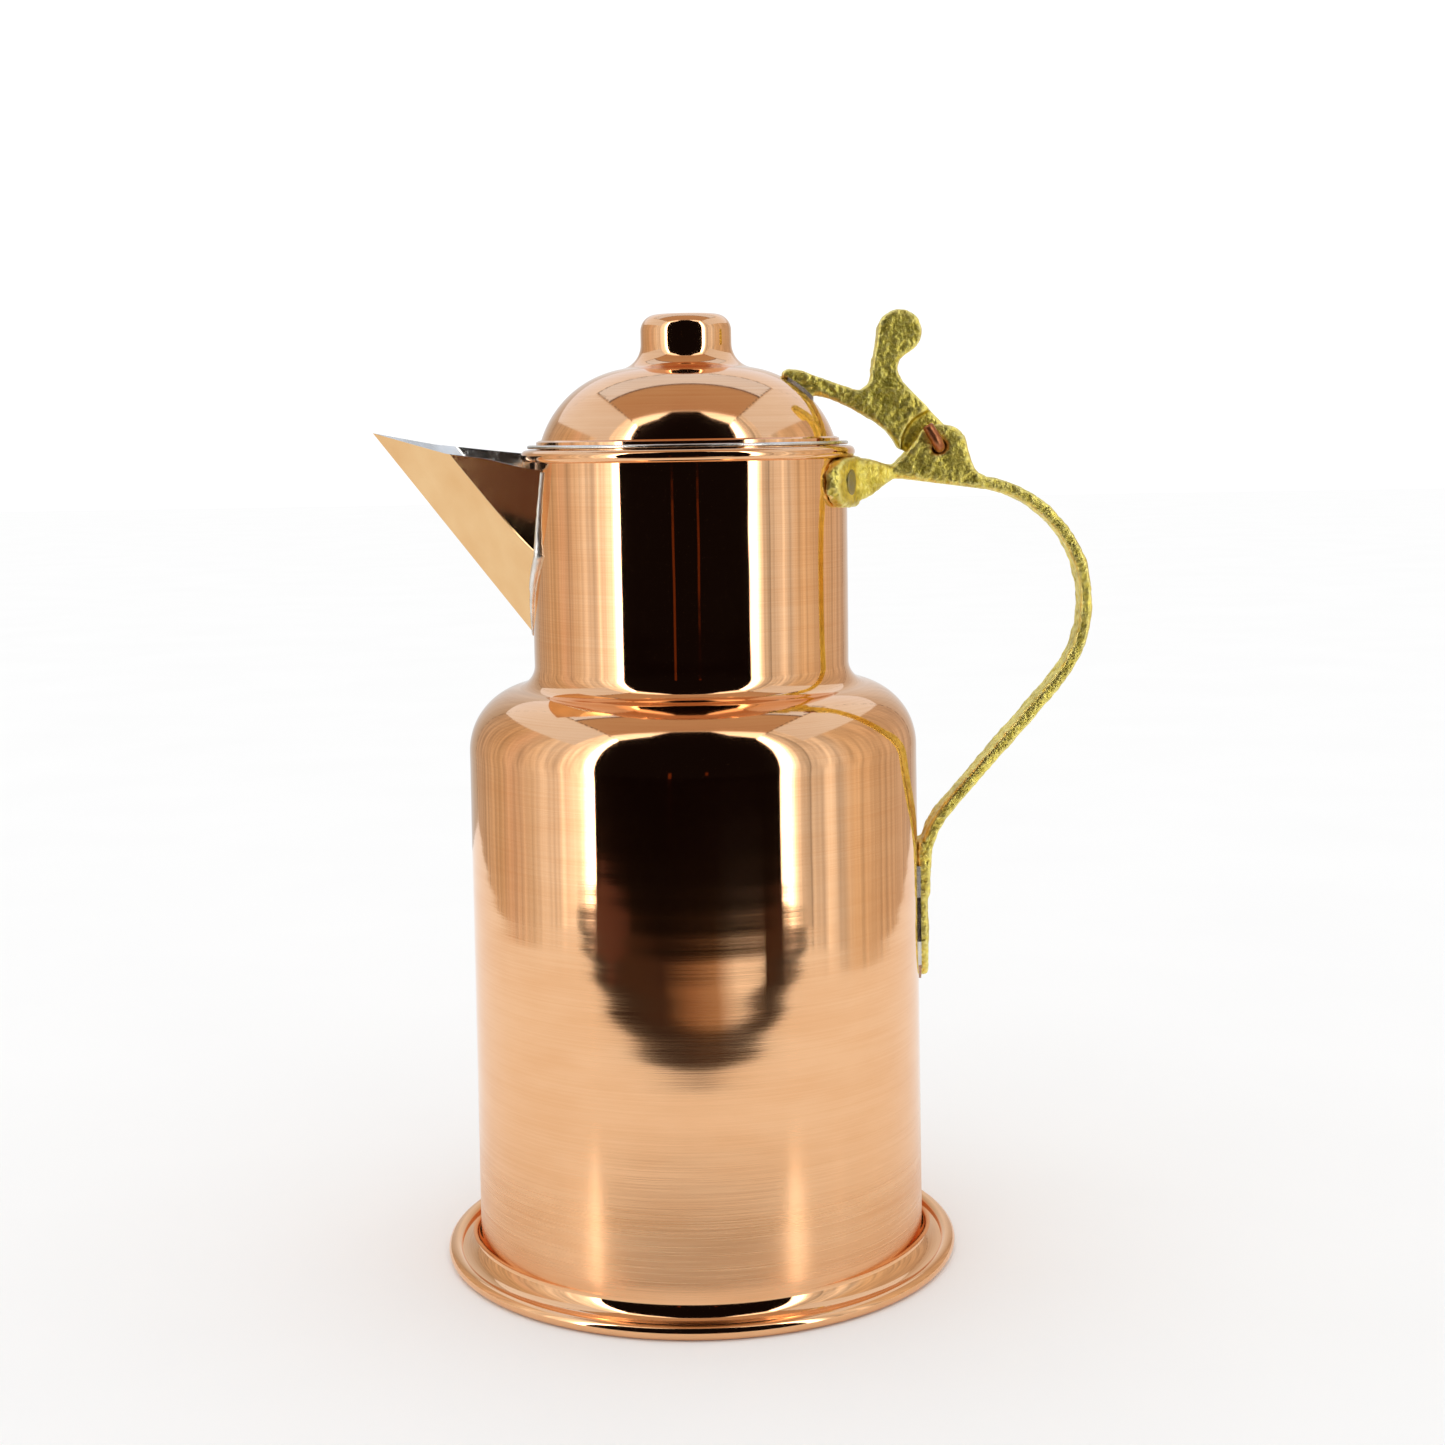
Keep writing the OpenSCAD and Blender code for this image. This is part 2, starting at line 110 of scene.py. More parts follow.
PAD_Z = 194.0
PAD_T = 3.0
RIVET_SIDE = 14.0
RIVET_R = 2.0
RIVET_HEAD_R = 3.1

POLISHED_TO = 6.5                  # below this height the foot is bright
TURNS = 192                        # steps round a turned part
SHARP = 35                         # degrees between faces from which an edge stays sharp
DENT_ACROSS = 9                    # breadth of the dents in a turned part
DENT_UP = 16                       # height of those dents
RING_SHARE = 0.4                   # height of the turning rings, as a share of the dents' depth


# ---------- meshes ----------

def mesh_object(name, verts, faces, materials, slots=None):
    """An object from points in millimetres. slots gives each face's material."""
    mesh = bpy.data.meshes.new(name)
    mesh.from_pydata([(x * MM, y * MM, z * MM) for x, y, z in verts], [], faces)
    for material in materials:
        mesh.materials.append(material)
    if slots is not None:
        mesh.polygons.foreach_set("material_index", slots)
    mesh.shade_smooth()
    mesh.set_sharp_from_angle(angle=math.radians(SHARP))
    mesh.validate()
    obj = bpy.data.objects.new(name, mesh)
    bpy.context.scene.collection.objects.link(obj)
    return obj


def arc(x, y, r, a, b, steps=24):
    """Points on an arc about (x, y), from angle a to angle b in degrees."""
    turns = [math.radians(a + (b - a) * i / steps) for i in range(steps + 1)]
    return [(x + r * math.cos(t), y + r * math.sin(t)) for t in turns]


def densify(outline, step=1.6):
    """The same outline with its long straight runs cut into short ones."""
    points = [outline[0]]
    for a, b in zip(outline, outline[1:]):
        gap = math.dist(a, b)
        if gap < 1e-4:
            continue
        parts = max(1, round(gap / step))
        points += [(a[0] + (b[0] - a[0]) * i / parts, a[1] + (b[1] - a[1]) * i / parts)
                   for i in range(1, parts + 1)]
    return points


def out_of_round(r, c, s, z, wobble):
    """Radius r in the direction (c, s) at height z, strayed from round by dents and fine rings."""
    r += wobble * noise.noise(Vector((r * c / DENT_ACROSS, r * s / DENT_ACROSS, z / DENT_UP)))
    return r + RING_SHARE * wobble * math.sin(z * 0.9 + 2 * math.sin(z * 0.13))


def turned(name, outline, materials, slot_of=None, wobble=0.0):
    """A closed outline of (radius, height) points turned about the pot's axis.

    slot_of gives the material's number for the outline's step k. wobble is how far the sheet
    strays from round, in millimetres, as a spun sheet does.
    """
    count = len(outline)
    verts = []
    for i in range(TURNS):
        t = 2 * math.pi * i / TURNS
        c, s = math.cos(t), math.sin(t)
        for r, z in outline:
            if wobble and r > 1:
                r = out_of_round(r, c, s, z, wobble)
            verts.append((r * c, r * s, z))
    faces = []
    slots = []
    for i in range(TURNS):
        j = (i + 1) % TURNS
        for k in range(count):
            n = (k + 1) % count
            faces.append((i * count + k, j * count + k, j * count + n, i * count + n))
            slots.append(slot_of(k) if slot_of else 0)
    obj = mesh_object(name, verts, faces, materials, slots)
    close_poles(obj)
    return obj


def close_poles(obj):
    """Merges the points that lie together on the axis."""
    bm = bmesh.new()
    bm.from_mesh(obj.data)
    bmesh.ops.remove_doubles(bm, verts=bm.verts, dist=1e-7)
    bmesh.ops.recalc_face_normals(bm, faces=bm.faces)
    bm.to_mesh(obj.data)
    bm.free()
    obj.data.set_sharp_from_angle(angle=math.radians(SHARP))


def tube(name, path, radii, material, sides=20, rough=0.0):
    """A round bar along a path, with flat ends. rough makes it uneven by that share of its radius."""
    points = [Vector(p) for p in path]
    verts = []
    rings = len(points)
    side = None
    for i, p in enumerate(points):
        ahead = points[min(i + 1, rings - 1)] - points[max(i - 1, 0)]
        ahead.normalize()
        if side is None:
            side = ahead.orthogonal().normalized()
        side = (side - ahead * side.dot(ahead)).normalized()
        up = ahead.cross(side)
        for k in range(sides):
            t = 2 * math.pi * k / sides
            out = side * math.cos(t) + up * math.sin(t)
            r = radii[i]
            if rough:
                r *= 1 + rough * noise.noise((p + out * radii[i]) * 0.9)
            verts.append(tuple(p + out * r))
    faces = []
    for i in range(rings - 1):
        for k in range(sides):
            n = (k + 1) % sides
            faces.append((i * sides + k, i * sides + n, (i + 1) * sides + n, (i + 1) * sides + k))
    faces.append(tuple(range(sides - 1, -1, -1)))
    faces.append(tuple((rings - 1) * sides + k for k in range(sides)))
    return mesh_object(name, verts, faces, [material])


def settle(obj, body, slot, *replaced):
    """Puts a finished piece on its CAD body, in place of CAD nodes."""
    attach(obj, body)
    if replaced:
        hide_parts(*replaced)
    return obj


# ---------- materials ----------

OBJECT_PLACE = 3                   # output of the Texture Coordinate node
POINTINESS = 7                     # output of the Geometry node


class Graph:
    """A material's node graph, built by short calls."""

    def __init__(self, name):
        self.material = bpy.data.materials.new(name)
        self.material.use_nodes = True
        self.tree = self.material.node_tree
        self.tree.nodes.clear()

    def add(self, kind, out=0, props=None, **inputs):
        """Adds a node, sets or links its inputs by name, and returns one of its outputs."""
        node = self.tree.nodes.new("ShaderNode" + kind)
        for key, value in (props or {}).items():
            setattr(node, key, value)
        for key, value in inputs.items():
            socket = node.inputs[int(key[1:])] if key[0] == "_" else node.inputs[key.replace("_", " ")]
            if isinstance(value, bpy.types.NodeSocket):
                self.tree.links.new(value, socket)
            else:
                socket.default_value = value
        return node.outputs[out]

    def place(self, scale):
        """Object coordinates in millimetres, times a scale for each axis."""
        where = self.add("TexCoord", out=OBJECT_PLACE)
        return self.add("VectorMath", props={"operation": "MULTIPLY"},
                        _0=where, _1=[1000 * s for s in scale])

    def noise(self, scale, detail=2.0, roughness=0.5):
        """Noise whose scale is per millimetre along each axis."""
        return self.add("TexNoise", _0=self.place(scale), Scale=1.0, Detail=detail, Roughness=roughness)

    def ramp(self, value, low, high, to_low, to_high):
        """value mapped from low..high to to_low..to_high, and held at the ends."""
        return self.add("MapRange", Value=value, From_Min=low, From_Max=high,
                        To_Min=to_low, To_Max=to_high)

    def mix(self, factor, a, b):
        """Colour a where factor is 0 and b where it is 1."""
        return self.add("Mix", out=2, props={"data_type": "RGBA"}, _0=factor, _6=a, _7=b)

    def math(self, operation, a, b):
        return self.add("Math", props={"operation": operation}, _0=a, _1=b)

    def height(self):
        """Height above the table, in millimetres."""
        return self.add("SeparateXYZ", out=2, _0=self.place((1, 1, 1)))

    def surface(self, shader):
        """Gives the material this shader as its surface, and returns the material."""
        output = self.tree.nodes.new("ShaderNodeOutputMaterial")
        self.tree.links.new(shader, output.inputs["Surface"])
        return self.material


def rgba(r, g, b):
    return (r, g, b, 1.0)


COPPER_LIGHT = rgba(0.89, 0.52, 0.28)
COPPER_DEEP = rgba(0.84, 0.46, 0.23)


def turned_copper(name, rough_low, rough_high, satin_from, satin_to, groove, smear):
    """Spun copper: satin up to satin_from, bright above satin_to, and bright again at the foot."""
    g = Graph(name)
    fine = g.noise((0.02, 0.02, 5.0), detail=3)
    broad = g.noise((0.05, 0.05, 0.16), detail=3)
    tone = g.ramp(g.math("ADD", fine, broad), 0.8, 1.25, 0.0, 1.0)
    colour = g.mix(tone, COPPER_LIGHT, COPPER_DEEP)
    base = g.ramp(g.height(), satin_from, satin_to, rough_low, rough_high)
    foot = g.ramp(g.height(), POLISHED_TO, POLISHED_TO + 4, rough_high, rough_low)
    base = g.math("MINIMUM", base, foot)
    roughness = g.math("MULTIPLY", base, g.ramp(fine, 0.3, 0.7, 0.8, 1.25))
    grooves = g.noise((0.012, 0.012, 1.3), detail=4, roughness=0.65)
    bump = g.add("Bump", Strength=1.0, Distance=groove * MM, Height=grooves)
    tangent = g.add("Tangent", props={"direction_type": "RADIAL", "axis": "Z"})
    shader = g.add("BsdfPrincipled", Base_Color=colour, Metallic=1.0, Roughness=roughness,
                   Anisotropic=smear, Anisotropic_Rotation=0.25, Normal=bump, Tangent=tangent)
    return g.surface(shader)


def sheet_copper(name):
    """Hand-bent copper sheet, polished after bending."""
    g = Graph(name)
    blotch = g.noise((0.09, 0.09, 0.07), detail=4)
    colour = g.mix(g.ramp(blotch, 0.35, 0.7, 0.0, 1.0), rgba(0.85, 0.56, 0.28), rgba(0.79, 0.48, 0.22))
    scratch = g.noise((0.9, 0.25, 0.3), detail=5, roughness=0.7)
    roughness = g.ramp(scratch, 0.3, 0.7, 0.07, 0.14)
    bump = g.add("Bump", Strength=1.0, Distance=0.0035 * MM, Height=scratch)
    shader = g.add("BsdfPrincipled", Base_Color=colour, Metallic=1.0, Roughness=roughness, Normal=bump)
    return g.surface(shader)


def wiped_tin(name, light, dark, rough):
    """Tin wiped on hot: soft streaks, small pits and dull patches."""
    g = Graph(name)
    streak = g.noise((0.5, 0.5, 0.15), detail=5, roughness=0.65)
    patch = g.noise((0.12, 0.12, 0.12), detail=3)
    colour = g.mix(g.ramp(patch, 0.35, 0.65, 0.0, 1.0), light, dark)
    roughness = g.ramp(streak, 0.3, 0.7, rough, rough + 0.18)
    bump = g.add("Bump", Strength=1.0, Distance=0.012 * MM, Height=streak)
    shader = g.add("BsdfPrincipled", Base_Color=colour, Metallic=1.0, Roughness=roughness, Normal=bump)
    return g.surface(shader)


def cast_brass(name):
    """Sand-cast brass, dull in its pits, with a painted highlight: a paler, brighter colour on its convex
    edges.
    """
    g = Graph(name)
    grit = g.noise((1.3, 1.3, 1.3), detail=3, roughness=0.55)
    pits = g.noise((0.45, 0.45, 0.45), detail=4, roughness=0.6)
    patina = g.noise((0.14, 0.14, 0.14), detail=3)
    pointiness = g.add("NewGeometry", out=POINTINESS)
    # painted highlight: convex edges, found by pointiness, get a paler, brighter brass colour
    edge = g.ramp(pointiness, 0.50, 0.57, 0.0, 1.0)
    grime = g.ramp(g.math("ADD", pits, g.math("MULTIPLY", patina, 0.6)), 0.68, 1.0, 0.0, 1.0)
    body = g.mix(grime, rgba(0.96, 0.80, 0.16), rgba(0.58, 0.47, 0.07))
    # the painted edge highlight laid over the brass colour
    colour = g.mix(edge, body, rgba(0.98, 0.90, 0.42))
    roughness = g.ramp(grit, 0.3, 0.7, 0.30, 0.48)
    bump = g.add("Bump", Strength=1.0, Distance=0.27 * MM, Height=g.math("ADD", grit, pits))
    shader = g.add("BsdfPrincipled", Base_Color=colour, Metallic=1.0, Roughness=roughness, Normal=bump)
    return g.surface(shader)


def drawn_copper(name):
    """Dull red-brown copper of the pin."""
    g = Graph(name)
    stain = g.noise((0.6, 0.6, 0.6), detail=4)
    colour = g.mix(g.ramp(stain, 0.35, 0.65, 0.0, 1.0), rgba(0.56, 0.23, 0.10), rgba(0.36, 0.12, 0.05))
    roughness = g.ramp(stain, 0.3, 0.7, 0.28, 0.45)
    bump = g.add("Bump", Strength=1.0, Distance=0.03 * MM, Height=stain)
    shader = g.add("BsdfPrincipled", Base_Color=colour, Metallic=1.0, Roughness=roughness, Normal=bump)
    return g.surface(shader)


def dull_steel(name):
    """Grey steel with brown rust specks."""
    g = Graph(name)
    stain = g.noise((0.8, 0.8, 0.8), detail=5, roughness=0.65)
    colour = g.mix(g.ramp(stain, 0.4, 0.62, 0.0, 1.0), rgba(0.34, 0.31, 0.20), rgba(0.42, 0.35, 0.14))
    roughness = g.ramp(stain, 0.3, 0.7, 0.38, 0.6)
    bump = g.add("Bump", Strength=1.0, Distance=0.06 * MM, Height=stain)
    shader = g.add("BsdfPrincipled", Base_Color=colour, Metallic=1.0, Roughness=roughness, Normal=bump)
    return g.surface(shader)


COPPER_BODY = turned_copper("copper_body", 0.30, 0.055, 20, 50, 0.004, 0.96)
COPPER_FOOT = turned_copper("copper_foot", 0.09, 0.09, 0, 1, 0.003, 0.7)
COPPER_LID = turned_copper("copper_lid", 0.075, 0.075, 0, 1, 0.002, 0.7)
COPPER_SHEET = sheet_copper("copper_sheet")
TIN = wiped_tin("wiped_tin", rgba(0.80, 0.79, 0.76), rgba(0.60, 0.59, 0.56), 0.12)
SEAM = wiped_tin("seam_tin", rgba(0.86, 0.85, 0.82), rgba(0.64, 0.60, 0.54), 0.34)
BRASS = cast_brass("cast_brass")
WIRE = drawn_copper("drawn_copper")
STEEL = dull_steel("dull_steel")


# ---------- body and foot ----------

def body_outline(t):
    """The body's outer outline moved inwards by t, from the foot flange to the neck."""
    shoulder_at = DRUM_TOP_R - SHOULDER_R
    hollow_at = NECK_R + NECK_FILLET
    turn = math.degrees(math.acos((hollow_at - shoulder_at) / (SHOULDER_R + NECK_FILLET)))
    hollow_z = SHOULDER_Z + (SHOULDER_R + NECK_FILLET) * math.sin(math.radians(turn))
    foot_at = DRUM_FOOT_R + FOOT_FILLET
    return (arc(foot_at, FLANGE_TOP + FOOT_FILLET, FOOT_FILLET + t, 270, 180)
            + arc(shoulder_at, SHOULDER_Z, SHOULDER_R - t, 0, turn)
            + arc(hollow_at, hollow_z, NECK_FILLET + t, 180 + turn, 180))


def make_body():
    """Drum, shoulder, neck and rolled rim in one sheet, tinned inside."""
    rim_start = 360 - math.degrees(math.acos((NECK_R - RIM_AT) / RIM_BEAD_R))
    outer = [(FLANGE_EDGE, PAN_T), (FLANGE_EDGE, FLANGE_TOP)] + body_outline(0)
    rim = arc(RIM_AT, RIM_Z, RIM_BEAD_R, rim_start, 540, 36)
    inner = list(reversed(body_outline(SHEET)))
    outline = densify(outer + rim + inner + [outer[0]])[:-1]
    inside_from = outline.index(min(outline, key=lambda p: math.dist(p, (NECK_IN, RIM_Z))))
    body = turned("body_copper", outline, [COPPER_BODY, TIN],
                  lambda k: int(k >= inside_from), wobble=0.02)
    cut_port(body)
    return settle(body, "pot", "copper", "body_shell")


def cut_port(body):
    """Cuts the hole behind the beak: straight-sided below, rounded above."""
    half = 12.0
    top = 195.0
    corner = 4.0
    side_foot = KEEL[1] + 18
    outline = [(0, KEEL[1] + 6), (half, side_foot)]
    outline += arc(half - corner, top - corner, corner, 0, 90, 6)
    outline += arc(corner - half, top - corner, corner, 90, 180, 6)
    outline += [(-half, side_foot)]
    x0 = -NECK_R - 5
    x1 = -NECK_IN / 2
    verts = [(x0, y, z) for y, z in outline] + [(x1, y, z) for y, z in outline]
    n = len(outline)
    faces = [tuple(range(n - 1, -1, -1)), tuple(range(n, 2 * n))]
    faces += [(i, (i + 1) % n, n + (i + 1) % n, n + i) for i in range(n)]
    cutter = mesh_object("port_cutter", verts, faces, [TIN])
    cut = body.modifiers.new("port", "BOOLEAN")
    cut.object = cutter
    cut.solver = "FAST"
    apply_modifiers(body)
    bpy.data.objects.remove(cutter)


def apply_modifiers(obj):
    """Replaces the object's mesh by what its modifiers make of it."""
    graph = bpy.context.evaluated_depsgraph_get()
    made = bpy.data.meshes.new_from_object(obj.evaluated_get(graph))
    obj.modifiers.clear()
    obj.data = made


def make_foot():
    """Bottom pan, its edge rolled up and over the edge of the body's flange."""
    roll_end = 540 - 27
    bead = arc(FOOT_BEAD_AT, FOOT_BEAD_R, FOOT_BEAD_R, 270, roll_end, 40)
    outline = ([(0, 0.0), (FOOT_BEAD_AT, 0)] + bead
               + [(FLANGE_EDGE, FLANGE_TOP), (FLANGE_EDGE, PAN_T), (0, PAN_T)])
    foot = turned("foot_pan", densify(outline), [COPPER_FOOT], wobble=0.015)
    return settle(foot, "pot", "copper", "base_pan")


# ---------- spout ----------

KEEL_RUN = Vector((TIP[0] - KEEL[0], 0, TIP[1] - KEEL[1])).normalized()
KEEL_UP = Vector((KEEL_RUN.z, 0, -KEEL_RUN.x))


def half_section(t):
    """Half of the beak's section, keel at the origin, moved inwards by t: points (across, up)."""
    lean = math.radians(BEAK_WALL)
    mid = CREASE_AT + BEAK_BEND * (math.sqrt(2) * math.sin(lean) - 1) / (math.cos(lean) - math.sin(lean))
    top = CREASE_AT + (BEAK_REACH - CREASE_AT) * math.tan(lean)
    return densify([(0, t * math.sqrt(2))]
                   + arc(mid, mid + BEAK_BEND * math.sqrt(2), BEAK_BEND - t, -45, -BEAK_WALL, 16)
                   + [(top - t / math.cos(lean), BEAK_REACH)], 0.8)


def edge_height(x, edge):
    """Height of the beak's cut edge at distance x from the axis."""
    xs = [p[0] for p in reversed(edge)]
    zs = [p[1] for p in reversed(edge)]
    return float(np.interp(x, xs, zs))


def solve(rising, low, high):
    """Where a rising function crosses zero."""
    for _ in range(45):
        middle = (low + high) / 2
        if rising(middle) < 0:
            low = middle
        else:
            high = middle
    return high


def beak_line(across, up, edge, rows):
    """A line of points along the beak at this place of its section, from the neck to the cut edge.

    Near the neck the line spreads, so that the beak flares into the joint.
    """
    before_joint = -10.0
    past_joint = 60.0
    past_tip = 90.0
    swell = FLARE * min(1.0, abs(across) / CREASE_AT) * math.exp(-max(0.0, up - CREASE_AT) / FLARE_UP)

    def at(run):
        spread = swell * math.exp(-max(0.0, run - up * JOINT_LEAN) / FLARE_RUN)
        side = math.copysign(abs(across) + spread, across) if across else 0.0
        return Vector((KEEL[0], side, KEEL[1])) + KEEL_RUN * run + KEEL_UP * (up + FLARE_LIFT * spread)

    first = solve(lambda run: math.hypot(*at(run).xy) - NECK_R, before_joint, past_joint)
    last = solve(lambda run: at(run).z - edge_height(-at(run).x, edge), before_joint, past_tip)
    return [at(first + (last - first) * k / rows) for k in range(rows + 1)], last - first


def beak_lines(t, rows):
    """Lines of points from the far top corner, round the keel, to the near top corner."""
    shortest = 0.4
    lines = []
    for sign, edge in ((1, FAR_EDGE), (-1, NEAR_EDGE)):
        side = []
        for across, up in half_section(t):
            line, length = beak_line(sign * across, up, edge, rows)
            if length < shortest:
                break
            side.append(line)
        lines.append(side)
    far, near = lines
    return list(reversed(far)) + near[1:]


def beak_points(outer, inner):
    """Points of both skins. The inner skin's lines are picked to match the outer skin's count."""
    last = len(outer) - 1
    points = []
    for lines in (outer, inner):
        for i in range(len(outer)):
            points += [tuple(p) for p in lines[round(i * (len(lines) - 1) / last)]]
    return points


def beak_faces(count, rows):
    """Faces of both skins and of all cut edges, and each one's material: 0 copper, 1 tin."""
    length = rows + 1
    under = count * length
    faces = []
    slots = []

    def quad(slot, *corners):
        faces.append(corners)
        slots.append(slot)

    for i in range(count - 1):
        a = i * length
        b = a + length
        for k in range(rows):
            quad(0, a + k, a + k + 1, b + k + 1, b + k)
            quad(1, under + a + k, under + b + k, under + b + k + 1, under + a + k + 1)
        quad(1, a + rows, under + a + rows, under + b + rows, b + rows)
        quad(1, a, b, under + b, under + a)
    for a in (0, (count - 1) * length):
        for k in range(rows):
            quad(1, a + k, under + a + k, under + a + k + 1, a + k + 1)
    return faces, slots


def make_beak():
    """Folded beak, open on top, with its tin seam."""
    rows = 60
    outer = beak_lines(0.0, rows)
    inner = beak_lines(BEAK_SHEET, rows)
    faces, slots = beak_faces(len(outer), rows)
    beak = mesh_object("beak_copper", beak_points(outer, inner), faces, [COPPER_SHEET, TIN], slots)
    close_poles(beak)
    settle(beak, "pot", "copper", "spout_beak")
    make_beak_seam([line[0] for line in outer])


def make_beak_seam(joint):
    """Tin run along the joint of beak and neck, wide beside the crease and thin at its ends."""
    proud = 0.1
    thin = 0.5
    extra = 0.75
    widest_z = KEEL[1] + 17
    spread = 9
    path = []
    for p in joint:
        out = Vector((p.x, p.y, 0)).normalized()
        path.append(p + out * proud)
    radii = [thin + extra * math.exp(-((p.z - widest_z) / spread) ** 2) for p in joint]
    seam = tube("beak_seam", path, radii, SEAM, rough=0.22)
    return settle(seam, "pot", "tin", "spout_solder")


# ---------- lid ----------

def lid_outline(t):
    """The lid's outer outline from flange to knob, moved inwards by t."""
    top_z = FLANGE_Z + LID_SHEET
    hollow_z = top_z + DOME_HOLLOW
    hollow_at = DOME_AT + math.sqrt((DOME_R + DOME_HOLLOW) ** 2 - (hollow_z - DOME_Z) ** 2)
    turn = math.degrees(math.atan2(hollow_z - DOME_Z, hollow_at - DOME_AT))
    knob_at = KNOB_R + KNOB_HOLLOW
    knob_turn = math.degrees(math.acos((knob_at - DOME_AT) / (DOME_R + KNOB_HOLLOW)))
    knob_z = DOME_Z + (DOME_R + KNOB_HOLLOW) * math.sin(math.radians(knob_turn))
    return (arc(hollow_at, hollow_z, DOME_HOLLOW + t, 270, 180 + turn, 10)
            + arc(DOME_AT, DOME_Z, DOME_R - t, turn, knob_turn, 40)
            + arc(knob_at, knob_z, KNOB_HOLLOW + t, 180 + knob_turn, 180, 14)
            + arc(KNOB_R - KNOB_ROUND, KNOB_TOP - KNOB_ROUND, KNOB_ROUND - t, 0, 90, 14)
            + [(0, KNOB_TOP - t)])


def make_lid():
    """Dome, hollow knob and flange in one sheet, tinned inside."""
    edge_r = LID_SHEET / 2
    tinned_steps = 9               # of the rounded edge, counted from below
    outer = lid_outline(0)
    inner = list(reversed(lid_outline(LID_SHEET)))
    rounded = arc(FLANGE_R - edge_r, FLANGE_Z + edge_r, edge_r, -90, 90, 10)
    outline = densify(rounded + outer + inner, 1.2)
    last_outer = outline.index(min(outline, key=lambda p: math.dist(p, (0, KNOB_TOP))))

    def slot_of(k):
        return int(k >= last_outer or k < tinned_steps)

    lid = turned("lid_copper", outline, [COPPER_LID, TIN], slot_of, wobble=0.015)
    return settle(lid, "lid", "copper", "lid_shell")


def make_collar():
    """Ring under the lid that drops into the mouth."""
    low = FLANGE_Z - COLLAR_DEPTH
    top = FLANGE_Z + 1.6
    inside = COLLAR_R - COLLAR_T
    ring = densify([(COLLAR_R, low), (COLLAR_R, top), (inside, top + 0.4), (inside, low),
                    (COLLAR_R, low)])[:-1]
    collar = turned("lid_ring", ring, [COPPER_LID])
    return settle(collar, "lid", "copper", "lid_collar")


# ---------- castings ----------

def calm(p):
    """0 on the faces that run past each other in the hinge slot, 1 away from them."""
    margin = 0.3
    if math.hypot(p.x - PIVOT[0], p.z - PIVOT[2]) > HINGE_REACH:
        return 1.0
    return min(1.0, max(0.0, abs(p.y) - SLOT_HALF - margin))


def skin(p):
    """Unevenness of a sand casting at p: lumps stand out, pits go in."""
    lump = noise.noise(p * 0.22) * 1.1 + noise.noise(p * 0.6) * 1.1
    pit = -max(0.0, noise.noise(p * 1.1) - 0.1) * 1.6
    return lump + pit


def casting(name, node, voxel, rounds, grit):
    """A casting from its CAD solid, with soft edges and an uneven skin. grit scales it, in millimetres."""
    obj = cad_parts[node].copy()
    obj.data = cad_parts[node].data.copy()
    obj.name = name
    obj.parent = None
    for key in list(obj.keys()):
        del obj[key]
    bpy.context.scene.collection.objects.link(obj)
    remesh = obj.modifiers.new("remesh", "REMESH")
    remesh.mode = "VOXEL"
    remesh.voxel_size = voxel * MM
    smooth = obj.modifiers.new("smooth", "SMOOTH")
    smooth.factor = 0.5
    smooth.iterations = rounds
    apply_modifiers(obj)
    mesh = obj.data
    mesh.materials.clear()
    mesh.materials.append(BRASS)
    moved = []
    for vertex in mesh.vertices:
        p = vertex.co / MM
        moved.extend((p + vertex.normal * calm(p) * grit * skin(p)) * MM)
    mesh.vertices.foreach_set("co", moved)
    mesh.update()
    mesh.shade_smooth()
    return obj


def make_castings():
    handle = casting("handle_brass", "handle_casting", 0.4, 24, 0.19)
    settle(handle, "pot", "cast_brass", "handle_casting")
    lever = casting("lever_brass", "lid_lever", 0.35, 32, 0.19)
    settle(lever, "lid", "cast_brass", "lid_lever")


# ---------- pin, rivets, small solder ----------

def make_pin():
    """Copper wire through the cheeks, its ends bent over in opposite directions."""
    lean = math.radians(30.7)
    bend = 2.0
    leg = 4.2
    steps = 12
    straight = CHEEK_FACE + PIN_R + 0.1 - bend

    def end(sign):
        along = Vector((-math.sin(lean) * sign, 0, math.cos(lean) * sign))
        centre = Vector((0, -sign * straight, 0)) + along * bend
        points = []
        for i in range(1, steps + 1):
            t = math.radians(90 * i / steps)
            points.append(centre + Vector((0, -sign * bend * math.sin(t), 0)) - along * bend * math.cos(t))
        for i in range(1, steps + 1):
            points.append(points[steps - 1] + along * leg * i / steps)
        return points

    near = end(1)
    far = end(-1)
    middle = [Vector((0, straight - 2 * straight * i / 8, 0)) for i in range(9)]
    path = [Vector(PIVOT) + p for p in list(reversed(far)) + middle + near]
    radii = [PIN_R] * len(path)
    radii[0] = radii[-1] = PIN_R * 0.8
    pin = tube("pin_copper", path, radii, WIRE, sides=28, rough=0.04)
    return settle(pin, "pot", "copper_wire", "hinge_pin")


def rivet_outline():
    """Points (radius, height over the pad) from the peened head to the low head inside the neck."""
    crown = 0.5
    depth = PAD_T + SHEET
    head = [(0, crown)]
    for a in range(10, 90, 10):
        t = math.radians(a)
        head.append((RIVET_HEAD_R * math.sin(t), crown * math.cos(t) ** 0.7))
    head += [(RIVET_HEAD_R, -0.4), (RIVET_R, -0.6)]
    low = [(RIVET_R, -depth), (RIVET_HEAD_R, -depth), (RIVET_HEAD_R * 0.8, -depth - 0.6), (0, -depth - 0.8)]
    return densify(head + low, 0.6)


